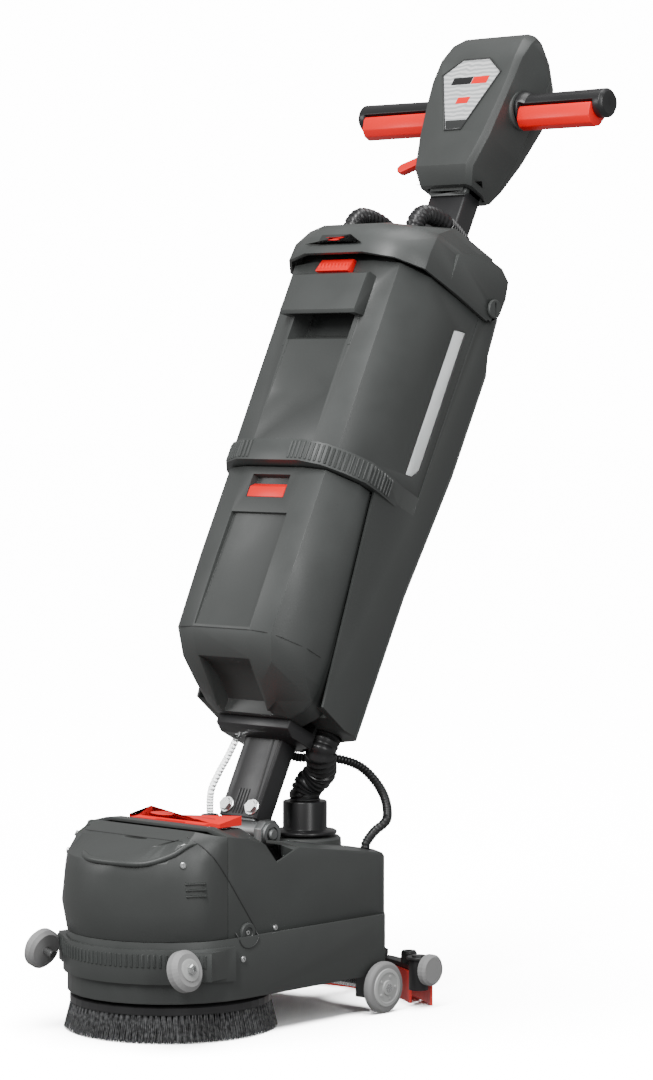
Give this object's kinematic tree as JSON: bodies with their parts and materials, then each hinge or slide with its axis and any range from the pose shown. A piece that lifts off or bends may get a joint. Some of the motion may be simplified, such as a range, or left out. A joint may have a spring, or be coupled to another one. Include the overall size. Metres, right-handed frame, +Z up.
{
  "type": "wet dry floor scrubber",
  "caption": "Upright battery floor scrubber: round brush deck with rear squeegee, leaning column with two tanks, and a T-handle head.",
  "frame": {"origin": "on the floor, under the middle of the machine's bounding box", "axes": "+Z up, +X to the machine's left, -Y to its front (the brush end)"},
  "size_m": [0.41, 0.7631, 1.2005],
  "materials": {
    "charcoal_plastic": "satin charcoal moulding",
    "black_plastic": "satin black plastic",
    "black_tube": "satin black powder coat",
    "red_plastic": "bright red plastic",
    "grey_tyre": "mid grey rubber",
    "steel": "bright zinc plated steel",
    "cast_metal": "grey cast metal",
    "bristle": "dark grey nylon bristle",
    "clear_plastic": "milky translucent plastic",
    "blade_rubber": "red blade rubber",
    "silver_label": "silver printed label"
  },
  "bodies": {
    "base": {"base_frame": "black_tube", "base_cover": "charcoal_plastic", "base_skirt": "charcoal_plastic", "front_cover": "charcoal_plastic", "bumper": "charcoal_plastic", "roller_axle_left": "steel", "roller_axle_right": "steel", "brush_motor": "black_plastic", "brush_gearbox": "cast_metal", "hose_turret": "black_plastic", "rear_axle": "steel", "pivot_bracket": "cast_metal", "pivot_pin": "steel", "squeegee_hose": "black_plastic"},
    "brush": {"brush_block": "black_plastic", "brush_bristles": "bristle", "brush_spindle": "steel"},
    "rear_wheel_left": {"rear_wheel_left": "grey_tyre"},
    "rear_wheel_right": {"rear_wheel_right": "grey_tyre"},
    "bumper_roller_left": {"bumper_roller_left": "grey_tyre"},
    "bumper_roller_right": {"bumper_roller_right": "grey_tyre"},
    "pedal": {"release_pedal": "red_plastic"},
    "squeegee": {"squeegee_arm": "black_plastic", "squeegee_holder": "black_plastic", "squeegee_blade_front": "blade_rubber", "squeegee_blade_rear": "blade_rubber"},
    "squeegee_wheel_left": {"squeegee_wheel_left": "grey_tyre"},
    "squeegee_wheel_right": {"squeegee_wheel_right": "grey_tyre"},
    "column": {"column_knuckle": "cast_metal", "column_tube": "black_tube", "column_bolt_left": "steel", "column_bolt_right": "steel", "body_shell": "charcoal_plastic", "bottom_bracket": "black_plastic", "suction_motor": "black_plastic", "water_pump": "black_plastic", "head_housing": "charcoal_plastic", "head_rear_cover": "charcoal_plastic", "label_plate": "silver_label", "grip_left": "black_plastic", "grip_right": "black_plastic", "hood_screw_left": "charcoal_plastic", "hood_screw_right": "charcoal_plastic", "top_hose_left": "black_plastic", "top_hose_right": "black_plastic", "vac_hose": "black_plastic", "cable_conduit": "black_plastic", "water_tube": "clear_plastic"},
    "battery": {"battery_pack": "black_plastic"},
    "waste_tank": {"waste_tank": "charcoal_plastic", "level_window": "clear_plastic"},
    "waste_tank_latch": {"waste_tank_latch": "red_plastic"},
    "hood": {"tank_hood": "charcoal_plastic"},
    "clean_tank": {"clean_tank": "charcoal_plastic"},
    "clean_tank_latch": {"clean_tank_latch": "red_plastic"},
    "trigger_left": {"trigger_left": "red_plastic"},
    "trigger_right": {"trigger_right": "red_plastic"},
    "release_lever": {"release_lever": "red_plastic"},
    "power_button": {"power_button": "red_plastic"}
  },
  "joints": [
    {"name": "brush_spin", "type": "hinge", "parent": "base", "child": "brush", "pos_m": [0, -0.2541, 0.03], "axis": [0, 0, 1], "continuous": true},
    {"name": "rear_wheel_left_spin", "type": "hinge", "parent": "base", "child": "rear_wheel_left", "pos_m": [0.13, -0.0251, 0.031], "axis": [1, 0, 0], "continuous": true},
    {"name": "rear_wheel_right_spin", "type": "hinge", "parent": "base", "child": "rear_wheel_right", "pos_m": [-0.13, -0.0251, 0.031], "axis": [1, 0, 0], "continuous": true},
    {"name": "bumper_roller_left_spin", "type": "hinge", "parent": "base", "child": "bumper_roller_left", "pos_m": [0.12, -0.3491, 0.089], "axis": [0.9613, 0, 0.2756], "continuous": true},
    {"name": "bumper_roller_right_spin", "type": "hinge", "parent": "base", "child": "bumper_roller_right", "pos_m": [-0.12, -0.3491, 0.089], "axis": [-0.9613, 0, 0.2756], "continuous": true},
    {"name": "pedal_press", "type": "hinge", "parent": "base", "child": "pedal", "pos_m": [0, -0.2561, 0.238], "axis": [-1, 0, 0], "range_deg": [0, 3], "stiffness_Nm_per_rad": 12, "springref_deg": -5.73},
    {"name": "squeegee_lift", "type": "hinge", "parent": "base", "child": "squeegee", "pos_m": [0, 0.0179, 0.086], "axis": [1, 0, 0], "range_deg": [0, 16], "deforming": ["squeegee_hose"]},
    {"name": "squeegee_wheel_left_spin", "type": "hinge", "parent": "squeegee", "child": "squeegee_wheel_left", "pos_m": [0.14, 0.0387, 0.046], "axis": [1, 0, 0], "continuous": true},
    {"name": "squeegee_wheel_right_spin", "type": "hinge", "parent": "squeegee", "child": "squeegee_wheel_right", "pos_m": [-0.14, 0.0387, 0.046], "axis": [1, 0, 0], "continuous": true},
    {"name": "column_tilt", "type": "hinge", "parent": "base", "child": "column", "pos_m": [0, -0.1406, 0.219], "axis": [1, 0, 0], "range_deg": [-18, 26.9], "deforming": ["vac_hose", "cable_conduit", "water_tube"]},
    {"name": "battery_slide", "type": "slide", "parent": "column", "child": "battery", "axis": [0, 0.8918, -0.4524], "range_m": [0, 0.1]},
    {"name": "waste_tank_slide", "type": "slide", "parent": "column", "child": "waste_tank", "axis": [0, -0.8918, 0.4524], "range_m": [0, 0.12]},
    {"name": "waste_tank_latch_tip", "type": "hinge", "parent": "waste_tank", "child": "waste_tank_latch", "pos_m": [0, 0.03531, 0.88688], "axis": [1, 0, 0], "range_deg": [0, 8], "stiffness_Nm_per_rad": 1.5, "springref_deg": -5.73},
    {"name": "hood_open", "type": "hinge", "parent": "column", "child": "hood", "pos_m": [0, 0.19535, 0.84583], "axis": [-1, 0, 0], "range_deg": [0, 38], "deforming": ["top_hose_left", "top_hose_right"]},
    {"name": "clean_tank_slide", "type": "slide", "parent": "column", "child": "clean_tank", "axis": [0, -0.8918, 0.4524], "range_m": [0, 0.12]},
    {"name": "clean_tank_latch_pull", "type": "hinge", "parent": "clean_tank", "child": "clean_tank_latch", "pos_m": [0, -0.07764, 0.6311], "axis": [-1, 0, 0], "range_deg": [0, 12], "stiffness_Nm_per_rad": 1.5, "springref_deg": -5.73},
    {"name": "trigger_left_squeeze", "type": "hinge", "parent": "column", "child": "trigger_left", "pos_m": [0, 0.31998, 1.08817], "axis": [-1, 0, 0], "range_deg": [0, 4.5], "stiffness_Nm_per_rad": 8, "springref_deg": -5.73},
    {"name": "trigger_right_squeeze", "type": "hinge", "parent": "column", "child": "trigger_right", "pos_m": [0, 0.31998, 1.08817], "axis": [-1, 0, 0], "range_deg": [0, 4.5], "stiffness_Nm_per_rad": 8, "springref_deg": -5.73},
    {"name": "release_lever_lift", "type": "hinge", "parent": "column", "child": "release_lever", "pos_m": [-0.0445, 0.25082, 1.03915], "axis": [0, 0.8918, -0.4524], "range_deg": [0, 7], "stiffness_Nm_per_rad": 1.5, "springref_deg": -8.59},
    {"name": "power_button_press", "type": "slide", "parent": "column", "child": "power_button", "axis": [0, -0.8918, 0.4524], "range_m": [0, 0.003], "stiffness_N_per_m": 400, "springref_m": -0.002}
  ]
}
